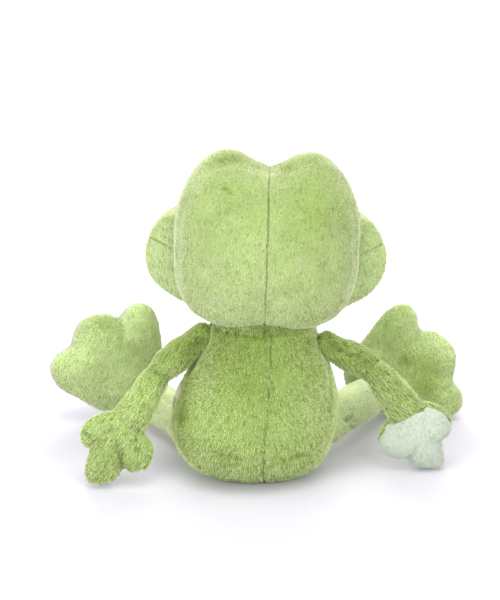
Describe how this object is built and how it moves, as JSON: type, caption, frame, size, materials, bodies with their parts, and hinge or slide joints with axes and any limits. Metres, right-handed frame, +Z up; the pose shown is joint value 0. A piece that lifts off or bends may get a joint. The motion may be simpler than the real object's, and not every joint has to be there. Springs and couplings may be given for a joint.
{
  "type": "plush frog",
  "caption": "Seated plush frog with a wide head, eye domes, gathered limbs that bend at elbows and knees, three-fingered hands and big three-toed feet.",
  "frame": {"origin": "middle of the seat, on the table that the frog sits on", "axes": "+Z up, the frog looks towards -Y and its left side is +X"},
  "size_m": [0.2237, 0.1565, 0.1688],
  "materials": {
    "green_plush": "short plush pile",
    "smooth_plush": "short, smooth plush pile",
    "mint_plush": "short plush pile",
    "filling": "polyester fibre",
    "pellet_bag": "woven cotton over plastic pellets",
    "eye": "polished",
    "washer": "matt"
  },
  "bodies": {
    "torso": {"torso_back_left_panel": "green_plush", "torso_back_right_panel": "green_plush", "belly_panel": "green_plush", "torso_stuffing": "filling", "pellet_bag": "pellet_bag"},
    "neck": {"neck": "green_plush"},
    "head": {"head_back_left_panel": "smooth_plush", "head_back_right_panel": "smooth_plush", "upper_face_panel": "smooth_plush", "lower_jaw_panel": "smooth_plush", "head_stuffing": "filling", "left_eye": "eye", "left_eye_washer": "washer", "right_eye": "eye", "right_eye_washer": "washer"},
    "left_arm_root": {"left_shoulder_gather": "green_plush"},
    "left_upper_arm": {"left_upper_arm": "green_plush"},
    "left_lower_arm": {"left_forearm": "green_plush", "left_hand_back": "green_plush", "left_palm": "mint_plush"},
    "left_leg_root": {"left_hip_gather": "green_plush"},
    "left_thigh": {"left_thigh": "green_plush"},
    "left_shin": {"left_shin": "green_plush"},
    "left_foot": {"left_foot_top": "green_plush", "left_foot_sole": "mint_plush"},
    "right_arm_root": {"right_shoulder_gather": "green_plush"},
    "right_upper_arm": {"right_upper_arm": "green_plush"},
    "right_lower_arm": {"right_forearm": "green_plush", "right_hand_back": "green_plush", "right_palm": "mint_plush"},
    "right_leg_root": {"right_hip_gather": "green_plush"},
    "right_thigh": {"right_thigh": "green_plush"},
    "right_shin": {"right_shin": "green_plush"},
    "right_foot": {"right_foot_top": "green_plush", "right_foot_sole": "mint_plush"}
  },
  "joints": [
    {"name": "neck_turn", "type": "hinge", "parent": "torso", "child": "neck", "pos_m": [0, 0, 0.0815], "axis": [0, 0, 1], "range_deg": [-40, 40]},
    {"name": "neck_nod", "type": "hinge", "parent": "neck", "child": "head", "pos_m": [0, 0, 0.068], "axis": [1, 0, 0], "range_deg": [-12, 15], "stiffness_Nm_per_rad": 0.047, "springref_deg": -2.53},
    {"name": "left_shoulder_swing", "type": "hinge", "parent": "torso", "child": "left_arm_root", "pos_m": [0.03032, 0.00324, 0.07547], "axis": [0, 0, 1], "range_deg": [-20, 10]},
    {"name": "left_shoulder_raise", "type": "hinge", "parent": "left_arm_root", "child": "left_upper_arm", "pos_m": [0.03032, 0.00324, 0.07547], "axis": [0.2494, -0.9684, 0], "range_deg": [-5, 45]},
    {"name": "left_elbow_bend", "type": "hinge", "parent": "left_upper_arm", "child": "left_lower_arm", "pos_m": [0.05218, 0.00887, 0.05647], "axis": [0.7545, 0, 0.6562], "range_deg": [-45, 20]},
    {"name": "left_hip_swing", "type": "hinge", "parent": "torso", "child": "left_leg_root", "pos_m": [0.0323, -0.02698, 0.013], "axis": [0, 0, 1], "range_deg": [-25, 30]},
    {"name": "left_hip_raise", "type": "hinge", "parent": "left_leg_root", "child": "left_thigh", "pos_m": [0.0323, -0.02698, 0.013], "axis": [-0.9063, -0.4226, 0], "range_deg": [-30, 35]},
    {"name": "left_knee_bend", "type": "hinge", "parent": "left_thigh", "child": "left_shin", "pos_m": [0.04539, -0.05506, 0.01192], "axis": [0.883, 0.4694, 0], "range_deg": [-20, 60]},
    {"name": "left_ankle_tilt", "type": "hinge", "parent": "left_shin", "child": "left_foot", "pos_m": [0.06179, -0.08234, 0.01526], "axis": [0.8572, 0.515, 0], "range_deg": [-25, 25]},
    {"name": "right_shoulder_swing", "type": "hinge", "parent": "torso", "child": "right_arm_root", "pos_m": [-0.03187, 0.0026, 0.0705], "axis": [0, 0, 1], "range_deg": [-30, 25]},
    {"name": "right_shoulder_raise", "type": "hinge", "parent": "right_arm_root", "child": "right_upper_arm", "pos_m": [-0.03187, 0.0026, 0.0705], "axis": [-0.1653, 0.9862, 0], "range_deg": [-8, 45]},
    {"name": "right_elbow_bend", "type": "hinge", "parent": "right_upper_arm", "child": "right_lower_arm", "pos_m": [-0.05637, -0.00151, 0.05459], "axis": [0.6884, 0, -0.7254], "range_deg": [-45, 20]},
    {"name": "right_hip_swing", "type": "hinge", "parent": "torso", "child": "right_leg_root", "pos_m": [-0.02443, -0.02763, 0.013], "axis": [0, 0, 1], "range_deg": [-30, 25]},
    {"name": "right_hip_raise", "type": "hinge", "parent": "right_leg_root", "child": "right_thigh", "pos_m": [-0.02443, -0.02763, 0.013], "axis": [-0.788, 0.6157, 0], "range_deg": [-30, 35]},
    {"name": "right_knee_bend", "type": "hinge", "parent": "right_thigh", "child": "right_shin", "pos_m": [-0.04347, -0.052, 0.01516], "axis": [0.8339, -0.5519, 0], "range_deg": [-20, 60]},
    {"name": "right_ankle_tilt", "type": "hinge", "parent": "right_shin", "child": "right_foot", "pos_m": [-0.05895, -0.07992, 0.0174], "axis": [0.8746, -0.4848, 0], "range_deg": [-25, 25]}
  ]
}
